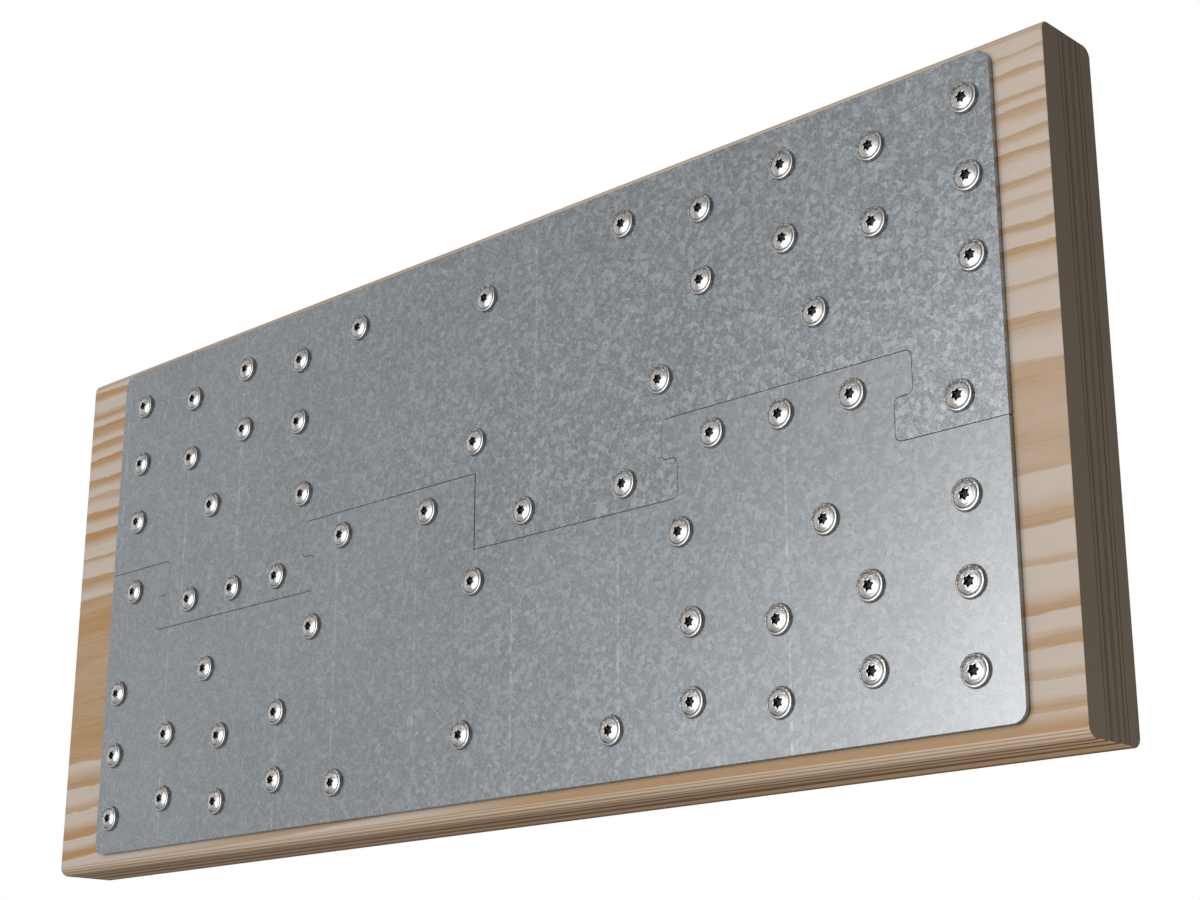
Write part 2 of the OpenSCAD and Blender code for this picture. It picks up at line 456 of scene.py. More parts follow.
def edge_bands(tree, laid):
    """The same rings where the rounded edges and narrow faces cut them: a band every 12.5 mm of
    laid height, its place moved by noise and its strength drawn by lot, and thin lines between."""
    up = split(tree, laid)[1]
    course = drawn_noise(tree, laid, (1.1, 30.0, 1.0), 2.0, 0.55)
    course = calc(tree, "MULTIPLY_ADD", course, 1.9, calc(tree, "MULTIPLY", up, -80.0))
    cut = calc(tree, "FRACT", course)
    band = calc(tree, "MULTIPLY", fade(tree, cut, 0.30, 0.66), fade(tree, cut, 0.82, 0.95, 1.0, 0.0))
    band = calc(tree, "MULTIPLY", band, calc(tree, "MULTIPLY_ADD", lot(tree, course), 0.3, 0.85))
    thin = drawn_noise(tree, laid, (3.0, 300.0, 1.0), 2.0, 0.6)
    return calc(tree, "MULTIPLY_ADD", fade(tree, thin, 0.48, 0.68), 0.35, band, clamp=True)


def pine_face_material():
    """Flat-sawn pine: growth rings on the faces, closer bands round the edges, a warmer and
    darker pair of colours across the narrow faces, darkened further as painted shade for the
    underside, and fine fibres over all of it."""
    material, tree, shader = new_material("pine_face")
    laid = add(tree, "ShaderNodeUVMap", {}, uv_map="laid").outputs[0]
    up = split(tree, laid)[1]
    lower, upper = fade(tree, up, -0.004, 0.004, 1.0, 0.0), fade(tree, up, 0.273, 0.281)
    rounded = calc(tree, "ADD", lower, upper)
    lower, upper = fade(tree, up, -0.052, -0.030, 1.0, 0.0), fade(tree, up, 0.307, 0.329)
    narrow = calc(tree, "ADD", lower, upper)
    late = mix_value(tree, rounded, growth_rings(tree, laid), edge_bands(tree, laid))
    colour = mix_colour(tree, late, early_wood, late_wood)
    # Across the narrow faces: the warmer colours, with painted shade for the underside in them.
    sawn = mix_colour(tree, late, narrow_early_and_shade, narrow_late_and_shade)
    colour = mix_colour(tree, narrow, colour, sawn)
    strength = {"Grain": laid, "Coarse": 0.10, "Fine": 0.10, "Flecks": 0.10}
    fibre = add(tree, "ShaderNodeGroup", strength, node_tree=wood_fibre).outputs
    height = calc(tree, "MULTIPLY_ADD", late, 0.35, fibre["Height"])
    finish = {
        "Base Color": toned(tree, colour, fibre["Tone"]),
        "Roughness": calc(tree, "MULTIPLY_ADD", late, -0.12, 0.66),
        "Specular IOR Level": 0.15,
        "Normal": bumped(tree, height, 0.35, 0.00025),
    }
    feed(tree, shader, finish)
    return material


def drawn_line(tree, position, middle, waver, sway, width):
    """A soft line where a coordinate passes its middle, which sways with a noise by some metres."""
    off = swing(tree, waver, sway, calc(tree, "SUBTRACT", position, middle))
    return fade(tree, calc(tree, "ABSOLUTE", off), width * 0.3, width, 1.0, 0.0)


def pine_end_material():
    """Sawn end grain: grey-brown, with the upright lines of the late wood in the rear half. The
    lines stand at chosen depths behind the front and sway a little up the board."""
    depths_and_widths = (
        (12.3, 0.35), (14.8, 0.55), (15.7, 0.25), (19.3, 0.3), (20.6, 0.45), (24.6, 0.65), (27.3, 0.4)
    )
    material, tree, shader = new_material("pine_end")
    place = add(tree, "ShaderNodeTexCoord", {}).outputs["Object"]
    along, inward, up = split(tree, place)
    waver = drawn_noise(tree, place, (1.0, 60.0, 9.0), 2.0, 0.5)
    broken = drawn_noise(tree, place, (1.0, 500.0, 14.0), 3.0, 0.65)
    groove = calc(tree, "MULTIPLY", fade(tree, broken, 0.54, 0.74), 0.5)
    groove = calc(tree, "MULTIPLY", groove, fade(tree, inward, -0.007, -0.004))
    for behind, width in depths_and_widths:
        line = drawn_line(tree, inward, board_low.y + behind * MM, waver, 0.0016, width * MM)
        line = calc(tree, "MULTIPLY", line, fade(tree, broken, 0.30, 0.52, 0.45, 1.0))
        groove = calc(tree, "MAXIMUM", groove, line)
    colour = mix_colour(tree, groove, end_wood, end_groove)
    grain = add(tree, "ShaderNodeCombineXYZ", {0: up, 1: inward, 2: along}).outputs[0]
    strength = {"Grain": grain, "Coarse": 0.16, "Fine": 0.14, "Flecks": 0.04}
    fibre = add(tree, "ShaderNodeGroup", strength, node_tree=wood_fibre).outputs
    height = calc(tree, "MULTIPLY_ADD", groove, -1.0, fibre["Height"])
    finish = {
        "Base Color": toned(tree, colour, fibre["Tone"]),
        "Roughness": 0.8,
        "Specular IOR Level": 0.2,
        "Normal": bumped(tree, height, 0.5, 0.0004),
    }
    feed(tree, shader, finish)
    return material


points, faces, kinds, soft_faces, uv = board_mesh()
woods = [pine_face_material(), pine_end_material()]
board = make_piece("pine_board", points, faces, woods, kinds, soft_faces, uv)
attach(board, "root")
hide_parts("timber_board")

# ---------------------------------------------------------------------------------------------
# The nail plates: 3 mm steel, cut to a stepped and hooked edge and hot-dip galvanised. The same
# pressing is used twice, the lower one turned half a turn, so that their tongues hook together.
# ---------------------------------------------------------------------------------------------
# The outline's sizes, in millimetres.
half_width, half_height, corner_radius = 285.0, 132.0, 6.0
tongue_reach, seam_radius, sharp_radius = 18.0, 3.0, 0.4
inner_neck, outer_neck, hook = 114.0, 234.0, 9.0
half_gap, side_gap, step_gap = 0.125, 0.10, 0.27

edge_break = 0.10 * MM
back_break = 0.1 * MM
hole_radius = 3.25 * MM
hole_sides = 24

zinc = (0.352, 0.378, 0.400, 1.0)
# A more neutral zinc for the lower plate's right: the tint of the highlight there, painted into the
# colour.
painted_highlight_zinc = (0.369, 0.381, 0.391, 1.0)


def plate_outline():
    """The upper plate's outline, anticlockwise, as corners and their radii. Heads are half the
    seam's gap smaller all round, and the hollows that take them as much larger. The seam is
    closest along the hooks' sides and widest at the step in the middle."""
    w, h = half_width, half_height
    s, m = side_gap, step_gap
    head, hollow, sharp = seam_radius - half_gap, seam_radius + half_gap, sharp_radius
    tip, neck, roof = half_gap - tongue_reach, -half_gap, tongue_reach + half_gap
    inner_hook, outer_hook = inner_neck + hook, outer_neck + hook
    turns = [
        (w, h, corner_radius), (-w, h, corner_radius), (-w, roof, sharp),
        (s - outer_neck, roof, hollow), (s - outer_neck, neck, hollow),
        (s - outer_hook, neck, head), (s - outer_hook, tip, head),
        (-inner_neck - s, tip, head), (-inner_neck - s, neck, head),
        (-inner_hook - s, neck, hollow), (-inner_hook - s, roof, hollow),
        (m, roof, sharp), (m, tip, sharp),
        (inner_hook - s, tip, head), (inner_hook - s, neck, head),
        (inner_neck - s, neck, hollow), (inner_neck - s, roof, hollow),
        (outer_hook + s, roof, hollow), (outer_hook + s, neck, hollow),
        (outer_neck + s, neck, head), (outer_neck + s, tip, head), (w, tip, sharp),
    ]
    table = np.array(turns) * MM
    return rounded_outline(table[:, :2], table[:, 2], 9)


def plate_mesh(sign, front, back):
    """The outline carried through the steel: its edge is broken by a quarter round at the front
    and a small slope at the back. Both faces are filled round the clearance holes. The sign is 1
    as the outline lies, and -1 for half a turn about the middle of the pair."""
    outline = plate_outline()
    count = len(outline)
    bend = np.linspace(0.0, math.pi / 2, 5)
    insets = np.concatenate([edge_break * (1 - np.sin(bend)), [0.0, back_break]])
    depths = np.concatenate([front + edge_break * (1 - np.cos(bend)), [back - back_break, back]])
    rows = np.stack([inset_outline(outline, d) for d in insets])
    holes = circle_points(upper_places, hole_radius, hole_sides)
    rims = [holes.reshape(-1, 2)] * 2
    placed = pair_middle + sign * np.concatenate([rows.reshape(-1, 2), *rims])
    sizes = [count] * len(depths) + [len(rims[0])] * 2
    depth = np.repeat([*depths, front, back], sizes)
    points = np.stack([placed[:, 0], depth, placed[:, 1]], 1)

    edge_count = len(rows) * count
    rim = edge_count + np.arange(len(rims[0]))
    rim_back = rim + len(rim)
    first_row, last_row = np.arange(count), np.arange(edge_count - count, edge_count)
    front_face = np.concatenate([first_row, rim])[pierced_face(rows[0], holes)]
    back_face = np.concatenate([last_row, rim_back])[pierced_face(rows[-1], holes)]
    rim, rim_back = rim.reshape(-1, hole_sides), rim_back.reshape(-1, hole_sides)
    walls = np.stack([rim, np.roll(rim, -1, 1), np.roll(rim_back, -1, 1), rim_back], -1)
    edge = ring_faces(len(rows), count)
    faces = [front_face, back_face[:, ::-1], edge[:, ::-1], walls.reshape(-1, 4)]
    soft = np.repeat([0, 0, 1, 1], [len(block) for block in faces])
    return points, faces, soft


def vector_calc(tree, operation, first, second):
    """One Vector Math node's result."""
    return add(tree, "ShaderNodeVectorMath", {0: first, 1: second}, operation=operation).outputs[0]


def random_push(tree, colour, size):
    """A random colour as a push: each part from minus to plus half the size."""
    push = vector_calc(tree, "SUBTRACT", colour, (0.5, 0.5, 0.5))
    scaled = add(tree, "ShaderNodeVectorMath", {0: push, "Scale": size}, operation="SCALE")
    return scaled.outputs[0]


def crystal_colour(tree, place, scale):
    """A random colour for each crystal, blended a little into its neighbours'."""
    inputs = {"Vector": place, "Scale": scale, "Smoothness": 0.10}
    return add(tree, "ShaderNodeTexVoronoi", inputs, feature="SMOOTH_F1").outputs["Color"]


def zinc_spangle_group():
    """Hot-dip spangle: two sizes of soft-edged crystals, their places stirred by noise, with
    curled frost along their edges and a slow cloud over them. Each crystal leans a little, so
    that it catches the light its own way."""
    tree, way_in, way_out = new_group(
        "zinc_spangle",
        [
            ("Place", "NodeSocketVector", None),
            ("Flake", "NodeSocketFloat", 330.0),
            ("Contrast", "NodeSocketFloat", 0.1),
            ("Frost", "NodeSocketFloat", 0.1),
            ("Cloud", "NodeSocketFloat", 0.08),
            ("Lean", "NodeSocketFloat", 0.03),
        ],
        [
            ("Tone", "NodeSocketFloat"),
            ("Roughness", "NodeSocketFloat"),
            ("Normal", "NodeSocketVector"),
        ],
    )
    place, size = way_in["Place"], way_in["Flake"]
    inputs = {"Vector": place, "Scale": 430.0, "Detail": 1.5, "Roughness": 0.5}
    stir = add(tree, "ShaderNodeTexNoise", inputs).outputs["Color"]
    stirred = vector_calc(tree, "ADD", place, random_push(tree, stir, 0.0042))
    large = crystal_colour(tree, stirred, size)
    small = crystal_colour(tree, stirred, calc(tree, "MULTIPLY", size, 1.9))
    large_tone = add(tree, "ShaderNodeSeparateColor", {0: large}).outputs[0]
    small_tone = add(tree, "ShaderNodeSeparateColor", {0: small}).outputs[0]
    flake = calc(tree, "MULTIPLY_ADD", fade(tree, large_tone, 0.45, 0.90), 0.65, -0.40)
    flake = calc(tree, "MULTIPLY_ADD", fade(tree, small_tone, 0.50, 0.95), 0.50, flake)

    inputs = {"Vector": stirred, "Scale": calc(tree, "MULTIPLY", size, 1.3)}
    cells = add(tree, "ShaderNodeTexVoronoi", inputs, feature="DISTANCE_TO_EDGE")
    edge = swing(tree, noise(tree, stirred, 420.0, 3.0, 0.6), 0.30, cells.outputs["Distance"])
    curl = fade(tree, calc(tree, "ABSOLUTE", edge), 0.01, 0.11, 1.0, 0.0)
    cloud = noise(tree, place, 11.0, 4.0, 0.58)
    tone = calc(tree, "MULTIPLY_ADD", flake, way_in["Contrast"], 1.0)
    tone = calc(tree, "MULTIPLY_ADD", calc(tree, "SUBTRACT", curl, 0.30), way_in["Frost"], tone)
    tone = swing(tree, cloud, way_in["Cloud"], tone)

    facing = add(tree, "ShaderNodeNewGeometry", {}).outputs["Normal"]
    leaned = vector_calc(tree, "ADD", facing, random_push(tree, large, way_in["Lean"]))
    leaned = add(tree, "ShaderNodeVectorMath", {0: leaned}, operation="NORMALIZE").outputs[0]
    rough = calc(tree, "MULTIPLY", flake, 0.06)
    feed(tree, way_out, {"Tone": tone, "Roughness": rough, "Normal": leaned})
    return tree


zinc_spangle = zinc_spangle_group()


def scuff_group():
    """Specks and scuffs: small dark dots where a cell's middle is near and its number is high,
    and ragged smudges where broad and fine noise rise together."""
    tree, way_in, way_out = new_group(
        "scuffs",
        [
            ("Place", "NodeSocketVector", None),
            ("Amount", "NodeSocketFloat", 1.0),
            ("Size", "NodeSocketFloat", 90.0),
        ],
        [("Mask", "NodeSocketFloat")],
    )
    inputs = {"Vector": way_in["Place"], "Scale": way_in["Size"], "Randomness": 1.0}
    cells = add(tree, "ShaderNodeTexVoronoi", inputs).outputs
    chosen = add(tree, "ShaderNodeSeparateColor", {0: cells["Color"]}).outputs
    size = calc(tree, "MULTIPLY_ADD", chosen[1], 0.05, 0.03)
    dot = fade(tree, calc(tree, "SUBTRACT", size, cells["Distance"]), 0.0, 0.03)
    dot = calc(tree, "MULTIPLY", dot, fade(tree, chosen[0], 0.55, 0.9))
    broad = fade(tree, noise(tree, way_in["Place"], 45.0, 2.0, 0.5), 0.52, 0.72)
    fine = fade(tree, noise(tree, way_in["Place"], 600.0, 3.0, 0.65), 0.56, 0.74)
    smudge = calc(tree, "MULTIPLY", calc(tree, "MULTIPLY", broad, fine), 0.25)
    mask = calc(tree, "ADD", dot, smudge)
    feed(tree, way_out, {"Mask": calc(tree, "MULTIPLY", mask, way_in["Amount"], clamp=True)})
    return tree


scuffs = scuff_group()


def galvanised_material(
    name, flake, contrast, frost, left, right, highlight_side_zinc, drip_lines, scuff_amount
):
    """Galvanised steel: spangle over blue-grey zinc, pale dotted drip lines down the sheet at the
    given places, and scuffs that thicken towards the plate's right. The spangle's contrast and
    frost change by the factors given towards the left and the right, and on the right the zinc
    takes the colour given for that side, a painted tint for the highlight there."""
    material, tree, shader = new_material(name)
    place = add(tree, "ShaderNodeTexCoord", {}).outputs["Object"]
    across = split(tree, place)[0]
    crisp = fade(tree, across, -0.30, 0.18, left, 1.0)
    crisp = calc(tree, "MULTIPLY", crisp, fade(tree, across, 0.02, 0.22, 1.0, right))
    strength = {
        "Place": place,
        "Flake": flake,
        "Contrast": calc(tree, "MULTIPLY", crisp, contrast),
        "Frost": calc(tree, "MULTIPLY", crisp, frost),
        "Cloud": 0.24,
        "Lean": 0.009,
    }
    crystals = add(tree, "ShaderNodeGroup", strength, node_tree=zinc_spangle).outputs
    tone = crystals["Tone"]

    waver = drawn_noise(tree, place, (60.0, 60.0, 160.0), 3.0, 0.6)
    dots = drawn_noise(tree, place, (200.0, 200.0, 520.0), 1.0, 0.5)
    dots = fade(tree, dots, 0.40, 0.60, 0.35, 1.0)
    dots = calc(tree, "MULTIPLY", fade(tree, waver, 0.36, 0.60), dots)
    for middle in drip_lines:
        line = drawn_line(tree, across, middle, waver, 0.0012, 0.0009)
        tone = calc(tree, "MULTIPLY_ADD", calc(tree, "MULTIPLY", line, dots), 0.36, tone)

    amount = calc(tree, "MULTIPLY", fade(tree, across, 0.12, 0.26), scuff_amount)
    wear = {"Place": place, "Amount": amount}
    mask = add(tree, "ShaderNodeGroup", wear, node_tree=scuffs).outputs["Mask"]
    tone = calc(tree, "MULTIPLY_ADD", mask, -0.30, tone)
    # Towards the right the colour takes the painted highlight tint.
    colour = mix_colour(tree, fade(tree, across, 0.12, 0.29), zinc, highlight_side_zinc)
    rough = calc(tree, "ADD", crystals["Roughness"], 0.28)
    finish = {
        "Base Color": toned(tree, colour, tone),
        "Metallic": 1.0,
        "Roughness": calc(tree, "MULTIPLY_ADD", mask, 0.2, rough),
        "Normal": crystals["Normal"],
    }
    feed(tree, shader, finish)
    return material


upper_zinc = galvanised_material(
    "galvanised_upper",
    flake=460.0,
    contrast=0.26,
    frost=0.33,
    left=0.62,
    right=1.0,
    highlight_side_zinc=zinc,
    drip_lines=[-0.2735, -0.2155, -0.1705, 0.0455],
    scuff_amount=0.25,
)
lower_zinc = galvanised_material(
    "galvanised_lower",
    flake=480.0,
    contrast=0.15,
    frost=0.25,
    left=0.85,
    right=0.32,
    highlight_side_zinc=painted_highlight_zinc,
    drip_lines=[-0.2245, -0.1315, -0.0895, -0.0325, 0.0315, 0.0955, 0.1865],
    scuff_amount=1.0,
)

points, faces, soft_faces = plate_mesh(1.0, upper_low.y, upper_high.y)
upper_plate = make_piece("upper_plate", points, faces, [upper_zinc], smooth=soft_faces)
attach(upper_plate, "root")
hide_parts("upper_nail_plate")

points, faces, soft_faces = plate_mesh(-1.0, lower_low.y, lower_high.y)
lower_plate = make_piece("lower_plate", points, faces, [lower_zinc], smooth=soft_faces)
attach(lower_plate, "root")
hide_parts("lower_nail_plate")

# ---------------------------------------------------------------------------------------------
# The connector screws: bright zinc, with a flared washer flange, a rolled rim, a low dome and a
# six-lobe recess. Each is driven home and stops at its own angle. The thread is under the head.
# ---------------------------------------------------------------------------------------------
# The screw's sizes, in millimetres.
head_sides = 72
neck_radius = 3.0
flange_radius, flange_top = 6.7, 6.28
rim_round, rim_shoulder, rim_height = 0.24, 1.24, 1.56
groove_radius, groove_floor = 5.38, 1.34
dome_out, head_height = 5.25, 2.38
recess_radius, recess_floor = 2.46, 0.45
shank_sides, shank_rows = 18, 56
shank_radius, shank_length, point_length = 2.95, 35.0, 8.0
thread_pitch, thread_start, thread_depth = 2.6, 3.2, 0.75
first_turn, next_turn = 5.0, 16.0

screw_front = upper_low.y
bright = (0.625, 0.620, 0.615, 1.0)
# Brown film, laid strongest on top of the head as a painted reflection of what hangs overhead.
brown_film_and_reflection = (0.235, 0.185, 0.15, 1.0)
# A darker tone laid in the groove.
groove_darkening = (0.10, 0.092, 0.085, 1.0)
# Painted shade: a near-black laid down in the recess in place of its own shadow.
recess_painted_shade = (0.05, 0.05, 0.052, 1.0)


def recess_reach(angle):
    """Distance from the axis to the recess's wall: the recess is a disc less six round bites
    centred between its points, so it is the disc's radius or the near side of a bite."""
    bite = recess_radius * 0.44
    bite_centre = recess_radius * 0.72 + bite
    from_bite = np.mod(angle, math.pi / 3) - math.pi / 6
    inside = bite**2 - (bite_centre * np.sin(from_bite)) ** 2
    reach = bite_centre * np.cos(from_bite) - np.sqrt(np.maximum(inside, 0.0))
    return np.where(inside > 0, np.minimum(reach, recess_radius), recess_radius)


def dome_height(radius):
    """The dome is flat at its middle and falls off faster towards its edge: its height drops by
    a square and a fourth power of the radius, and its shoulder is turned down past 4.5."""
    shoulder = np.maximum(radius - 4.5, 0.0)
    return head_height - 0.019 * radius**2 - 0.00033 * radius**4 - 0.15 * shoulder**2


def head_surface():
    """Radius, height and angle of a head's points, one row at a time from the flange inwards:
    the flared side, the rounded and sloping rim, the groove, the dome with one fine step in it,
    the recess's lip and wall, and its floor."""
    angle = angles_round(head_sides)
    star = recess_reach(angle)
    turn = np.linspace(0.0, math.pi / 2, 5)
    rim_side = flange_top - 0.22 + rim_round * np.cos(turn)
    profile = [
        (neck_radius, 0.0),
        (flange_radius, 0.0),
        *zip(rim_side, rim_shoulder + rim_round * np.sin(turn)),
        (groove_radius + 0.42, rim_height - 0.03),
        (groove_radius + 0.06, rim_height),
        (groove_radius + 0.02, rim_height - 0.03),
        (groove_radius - 0.02, groove_floor),
        (dome_out + 0.02, groove_floor),
        (dome_out, dome_height(dome_out) - 0.08),
    ]
    for share in (0.02, 0.15, 0.30, 0.43, 0.47, 0.60, 0.75, 0.88, 1.0):
        radius = dome_out + (star + 0.12 - dome_out) * share
        step = 0.05 if share < 0.45 else 0.0
        profile.append((radius, dome_height(radius) - step))
    lip = profile[-1][1]
    profile += [
        (star + 0.03, lip - 0.03),
        (star, lip - 0.16),
        (star * 0.98, 1.2),
        (star * 0.95, recess_floor),
        (star * 0.5, recess_floor - 0.12),
        (star * 0.02, recess_floor - 0.2),
    ]
    radius, height = (
        np.array([np.broadcast_to(row, head_sides) for row in rows]) for rows in zip(*profile)
    )
    return radius, height, np.broadcast_to(angle, radius.shape)


def shank_surface():
    """Radius, height and angle of the shank's points: the radius swings between root and crest as
    the height and the turn advance together, and fades to a plain neck above and a point below."""
    angle = angles_round(shank_sides)[None]
    height = np.linspace(0.0, 0.1 - shank_length, shank_rows)[:, None]
    swung = np.abs(np.mod(height / thread_pitch + angle / (2 * math.pi), 1.0) - 0.5) * 2.0
    depth = thread_depth * np.clip((-height - thread_start) / 1.5, 0.0, 1.0)
    taper = np.clip((shank_length + height) / point_length, 0.0, 1.0)
    radius = (shank_radius - depth * (1.0 - swung**3)) * taper
    return radius, np.broadcast_to(height, radius.shape), np.broadcast_to(angle, radius.shape)


def screws_mesh(centres, front):
    """All the screws of one plate in one mesh. A point of the head or the shank lies its radius
    from the axis, at its angle plus the screw's own turn, and its height before the plate."""
    head, shank = head_surface(), shank_surface()
    radius, height, angle = (np.concatenate([a.ravel(), b.ravel()]) for a, b in zip(head, shank))
    turn = np.radians(first_turn + next_turn * np.arange(len(centres)))[:, None]
    x = centres[:, :1] + radius * MM * np.cos(angle + turn)
    z = centres[:, 1:] + radius * MM * np.sin(angle + turn)
    y = np.broadcast_to(front - height * MM, x.shape)
    points = np.stack([x, y, z], -1).reshape(-1, 3)
    uv = np.stack([x - centres[:, :1], z - centres[:, 1:]], -1).reshape(-1, 2) / MM

    head_count, count = head[0].size, len(radius)
    head_quads = ring_faces(len(head[0]), head_sides)
    shank_quads = ring_faces(shank_rows, shank_sides, head_count)[:, ::-1]
    first = count * np.arange(len(centres))[:, None]
    quads = (np.concatenate([head_quads, shank_quads])[None] + first[..., None]).reshape(-1, 4)
    under = (first + np.arange(head_sides))[:, ::-1]
    floor = first + head_count - head_sides + np.arange(head_sides)
    neck = first + head_count + np.arange(shank_sides)
    tip = (first + count - shank_sides + np.arange(shank_sides))[:, ::-1]
    return points, [quads, floor, under, neck, tip], uv


def bright_zinc_material():
    """Bright zinc plate: fine turned rings round the axis, a broken surface towards the rim where
    the die bore on it, mostly above, and a brown film with it, strongest on top, where it is a
    painted reflection of what hangs overhead. The groove is darker, and the recess is painted
    dark as shade."""
    material, tree, shader = new_material("bright_zinc")
    place = add(tree, "ShaderNodeTexCoord", {}).outputs["Object"]
    laid = add(tree, "ShaderNodeUVMap", {}, uv_map="laid").outputs[0]
    radius = add(tree, "ShaderNodeVectorMath", {0: laid}, operation="LENGTH").outputs["Value"]
    inputs = {0: laid, 1: (-0.4, 0.92, 0.0)}
    above = add(tree, "ShaderNodeVectorMath", inputs, operation="DOT_PRODUCT").outputs["Value"]
    depth = split(tree, place)[1]
    # The recess mask: where the shade is painted, and where the zinc is rougher.
    near = fade(tree, radius, 2.0, 2.6, 1.0, 0.0)
    sunk = fade(tree, depth, screw_front - 2.2 * MM, screw_front - 1.9 * MM)
    recess_shade = calc(tree, "MULTIPLY", near, sunk)

    strength = {
        "Place": place, "Flake": 900.0, "Contrast": 0.10, "Frost": 0.08, "Cloud": 0.0, "Lean": 0.0
    }
    crystals = add(tree, "ShaderNodeGroup", strength, node_tree=zinc_spangle).outputs
    colour = toned(tree, bright, crystals["Tone"])
    # Brown film round the dome's shoulder, strongest on top, where it paints the overhead reflection.
    stain_and_reflection = fade(tree, noise(tree, place, 900.0, 2.0, 0.6), 0.42, 0.58)
    stain_and_reflection = calc(tree, "MULTIPLY", stain_and_reflection, fade(tree, radius, 3.2, 4.6))
    stain_and_reflection = calc(tree, "MULTIPLY", stain_and_reflection, fade(tree, above, -2.0, 3.5, 0.18, 0.85))
    colour = mix_colour(tree, stain_and_reflection, colour, brown_film_and_reflection)
    # The groove is darker.
    from_groove = calc(tree, "ABSOLUTE", calc(tree, "SUBTRACT", radius, groove_radius - 0.05))
    groove = fade(tree, from_groove, 0.10, 0.26, 0.50, 0.0)
    colour = mix_colour(tree, groove, colour, groove_darkening)
    # Painted shade down in the recess.
    colour = mix_colour(tree, recess_shade, colour, recess_painted_shade)

    outer = fade(tree, radius, 5.6, 6.0, 1.0, 0.1)
    outer = calc(tree, "MULTIPLY", fade(tree, radius, 3.0, 4.4), outer)
    struck = calc(tree, "MULTIPLY", outer, fade(tree, above, 0.5, 3.0, 0.06, 1.0))
    bumps = calc(tree, "MULTIPLY", noise(tree, place, 1100.0, 3.0, 0.65), struck)
    rings = calc(tree, "SINE", calc(tree, "MULTIPLY", radius, 14.0))
    bumps = calc(tree, "MULTIPLY_ADD", rings, 0.02, bumps)
    finish = {
        "Base Color": colour,
        "Metallic": 1.0,
        "Roughness": calc(tree, "MULTIPLY_ADD", recess_shade, 0.3, 0.20),
        "Normal": bumped(tree, bumps, 1.0, 0.00032),
    }
    feed(tree, shader, finish)
    return material


bright_zinc = bright_zinc_material()
for title, node, centres in (
    ("upper_screws", "upper_plate_screws", upper_centres),
    ("lower_screws", "lower_plate_screws", lower_centres),
):
    points, faces, uv = screws_mesh(centres, screw_front)
    screws = make_piece(title, points, faces, [bright_zinc], uv=uv)
    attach(screws, "root")
    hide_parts(node)

# ---------------------------------------------------------------------------------------------
# The studio: a pale floor under the part that is seen only from above, a white world, and soft
# lamps in front, low on the right and behind. Metal sees it grey in front and dark on the right.
# ---------------------------------------------------------------------------------------------
floor_reach = 4.0
floor_drop = 0.0006
floor_pale = (0.86, 0.86, 0.86, 1.0)
floor_white = (0.90, 0.90, 0.90, 1.0)
lamp_aim = Vector((0.0, 0.0, 0.14))
fill_level = 0.34
studio_grey = 0.46


def studio_floor():
    """A wide pale sheet just under the part that keeps its shadow. It is clear from below, and
    it thins out to the white around it with the distance from the part."""
    material, tree, shader = new_material("pale_floor")
    place = add(tree, "ShaderNodeTexCoord", {}).outputs["Object"]
    colour = mix_colour(tree, noise(tree, place, 3.0, 3.0, 0.5), floor_pale, floor_white)
    feed(tree, shader, {"Base Color": colour, "Roughness": 0.9})
    below = add(tree, "ShaderNodeNewGeometry", {}).outputs["Backfacing"]
    away = add(tree, "ShaderNodeVectorMath", {0: place}, operation="LENGTH").outputs["Value"]
    unseen = calc(tree, "MAXIMUM", below, fade(tree, away, 0.5, 1.9))
    clear = tree.nodes.new("ShaderNodeBsdfTransparent")
    finish = shader.outputs[0].links[0].to_node
    seen = add(tree, "ShaderNodeMixShader", {0: unseen, 1: shader.outputs[0], 2: clear.outputs[0]})
    tree.links.new(seen.outputs[0], finish.inputs["Surface"])
    corners = np.array([(-1, -1), (1, -1), (1, 1), (-1, 1)]) * floor_reach
    corners = np.insert(corners, 2, -floor_drop, axis=1)
    floor = make_piece("pale_floor", corners, [[(0, 1, 2, 3)]], [material])
    floor.visible_shadow = False
    floor.visible_diffuse = False
    floor.visible_glossy = False


def side_of(azimuth, elevation):
    """The direction to a side of the studio, from angles in degrees. The front is at azimuth 0,
    and the right at 90."""
    a, e = math.radians(azimuth), math.radians(elevation)
    return Vector((math.sin(a) * math.cos(e), -math.cos(a) * math.cos(e), math.sin(e)))


def soft_lamp(name, azimuth, elevation, distance, size, radiance):
    """A square lamp that faces the part from a side, as bright as the radiance says. Metal
    doesn't see it, because the world holds what metal sees."""
    data = bpy.data.lights.new(name, "AREA")
    data.shape = "SQUARE"
    data.size = size
    data.energy = radiance * math.pi * size * size
    lamp = bpy.data.objects.new(name, data)
    bpy.context.collection.objects.link(lamp)
    back = side_of(azimuth, elevation)
    facing = back.to_track_quat("Z", "Y").to_matrix().to_4x4()
    lamp.matrix_world = Matrix.Translation(lamp_aim + back * distance) @ facing
    lamp.visible_camera = False
    lamp.visible_glossy = False


def soft_spot(tree, way, azimuth, elevation, inner, outer):
    """1 within the inner angle of a side of the studio, and 0 beyond the outer one."""
    side = tuple(side_of(azimuth, elevation))
    near = add(tree, "ShaderNodeVectorMath", {0: way, 1: side}, operation="DOT_PRODUCT")
    low, high = math.cos(math.radians(outer)), math.cos(math.radians(inner))
    return fade(tree, near.outputs["Value"], low, high)


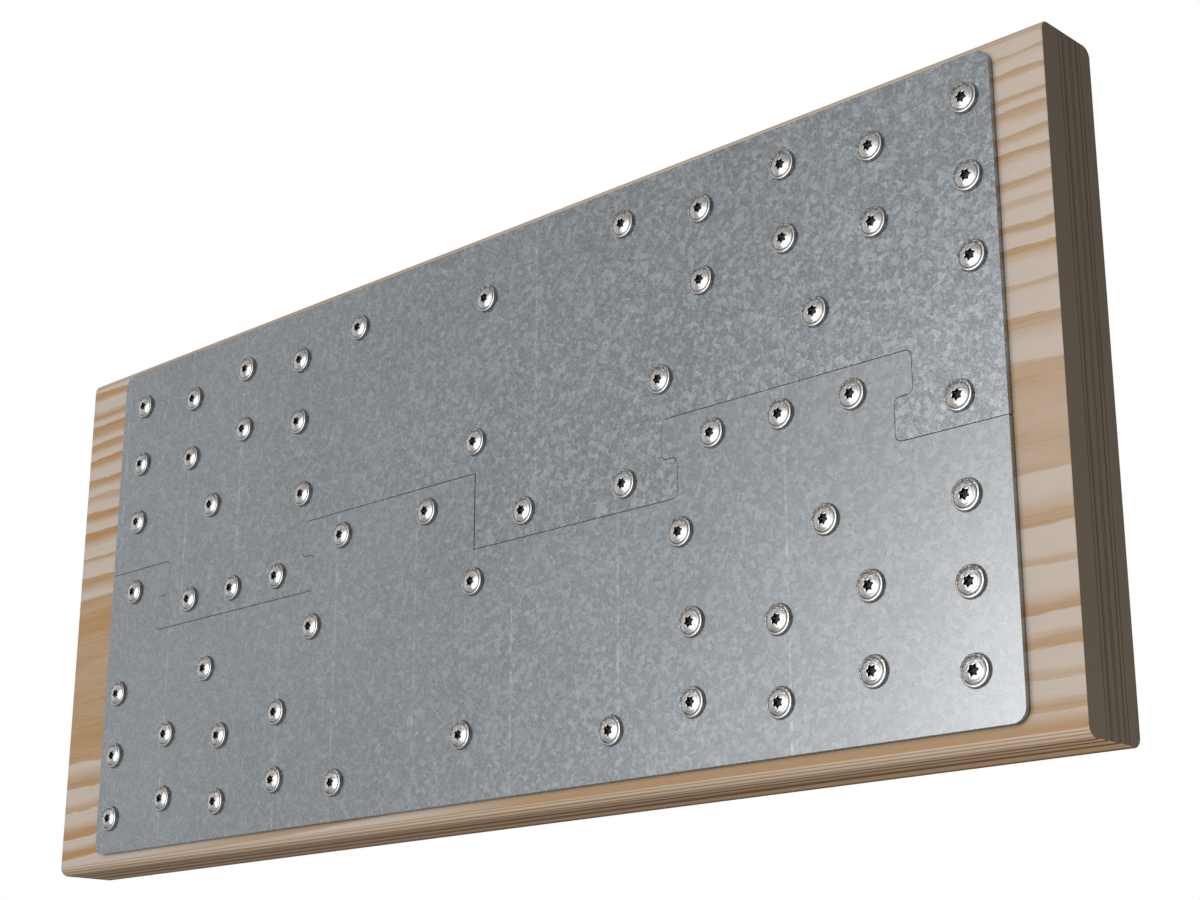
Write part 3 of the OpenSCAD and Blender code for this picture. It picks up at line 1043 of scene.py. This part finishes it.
def studio_world():
    """White to the camera and behind the part. In front, shiny surfaces see a grey studio that
    is brighter in the middle, dark on the right and low on the left, and broken up overhead. The
    rest of the light is an even fill. A spot's row gives its azimuth and elevation, its inner
    and outer angle, and what it adds or what it keeps."""
    bright_spots = (
        (-8.0, 4.0, 6.0, 32.0, 1.01),
        (-20.0, 2.0, 3.0, 20.0, 3.04),
        (-76.0, 12.0, 8.0, 34.0, 0.28),
    )
    dark_spots = (
        (84.0, 4.0, 44.0, 62.0, 0.15),
        (-78.0, -23.0, 9.0, 21.0, 0.10),
        (-98.0, 42.0, 4.0, 22.0, 0.50),
    )
    world = bpy.data.worlds.new("studio")
    bpy.context.scene.world = world
    world.use_nodes = True
    # Without light sampling, a shiny surface sees only the part of the world meant for it.
    world.cycles.sampling_method = "NONE"
    tree = world.node_tree
    tree.nodes.clear()
    way = add(tree, "ShaderNodeTexCoord", {}).outputs["Generated"]
    back, up = split(tree, way)[1:]
    seen = studio_grey
    for *spot, gain in bright_spots:
        seen = calc(tree, "MULTIPLY_ADD", soft_spot(tree, way, *spot), gain, seen)
    overhead = fade(tree, noise(tree, way, 5.0, 2.0, 0.6), 0.44, 0.60, 0.10, 1.20)
    seen = mix_value(tree, fade(tree, up, 0.86, 0.95), seen, overhead)
    for *spot, keep in dark_spots:
        left = calc(tree, "MULTIPLY_ADD", soft_spot(tree, way, *spot), keep - 1.0, 1.0)
        seen = calc(tree, "MULTIPLY", seen, left)
    low_right = soft_spot(tree, way, 46.0, -24.0, 12.0, 32.0)
    seen = calc(tree, "MAXIMUM", seen, calc(tree, "MULTIPLY", low_right, 0.65))
    backdrop = fade(tree, up, -0.35, -0.05, 0.10, 1.0)
    seen = mix_value(tree, fade(tree, back, 0.50, 0.90), seen, backdrop)
    path = tree.nodes.new("ShaderNodeLightPath").outputs
    shiny = calc(tree, "MAXIMUM", path["Is Glossy Ray"], path["Is Transmission Ray"])
    level = mix_value(tree, shiny, fill_level, seen)
    level = mix_value(tree, path["Is Camera Ray"], level, 1.0)
    light = add(tree, "ShaderNodeBackground", {"Color": (1, 1, 1, 1), "Strength": level})
    finish = tree.nodes.new("ShaderNodeOutputWorld")
    tree.links.new(light.outputs[0], finish.inputs["Surface"])


studio_floor()
studio_world()
soft_lamp("key_softbox", -15.0, 2.0, 3.0, 1.05, 7.7)
soft_lamp("front_fill", 20.0, 12.0, 2.2, 1.6, 2.6)
soft_lamp("low_fill", 82.0, -32.0, 0.9, 0.4, 2.6)
soft_lamp("back_fill", -155.0, 30.0, 2.4, 1.6, 4.6)

bpy.context.scene.view_settings.view_transform = "Standard"
